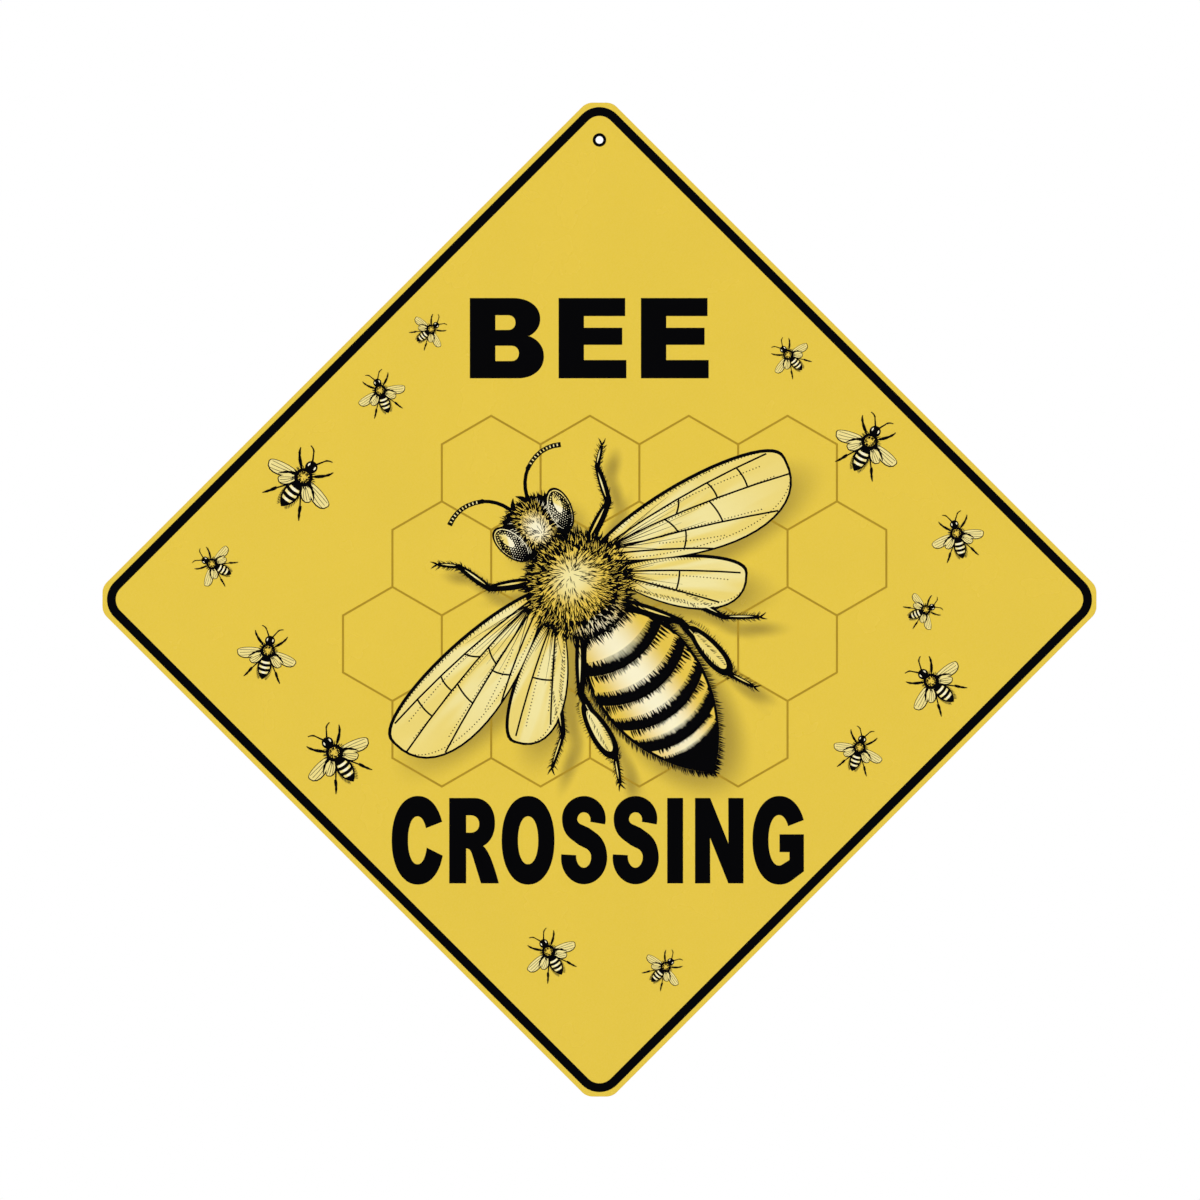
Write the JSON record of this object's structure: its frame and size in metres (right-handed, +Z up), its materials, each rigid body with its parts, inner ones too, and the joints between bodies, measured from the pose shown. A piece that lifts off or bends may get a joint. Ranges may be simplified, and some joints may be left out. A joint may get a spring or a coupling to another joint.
{
  "type": "bee crossing sign",
  "caption": "Flat diamond-shaped aluminium sign with clipped corners, a printed bee and honeycomb, a black border and one hole at its top corner to hang it by.",
  "frame": {"origin": "centre of the hanging hole at the sheet's back face", "axes": "+Z up along the sheet's upright diagonal, printed face towards -Y, back face towards +Y, +X to the right as the sign is read"},
  "size_m": [0.42, 0.0009, 0.4201],
  "materials": {
    "yellow_enamel": "baked yellow enamel on the front of an aluminium sheet",
    "black_ink": "glossy screen-printed enamel",
    "brown_ink": "glossy screen-printed enamel",
    "cream_ink": "glossy screen-printed enamel"
  },
  "bodies": {
    "root": {"sign_sheet": "yellow_enamel", "border_print": "black_ink", "hole_ring_print": "black_ink", "honeycomb_print": "brown_ink", "bee_black_print": "black_ink", "bee_pale_print": "cream_ink", "swarm_black_print": "black_ink", "swarm_pale_print": "cream_ink"}
  },
  "joints": []
}
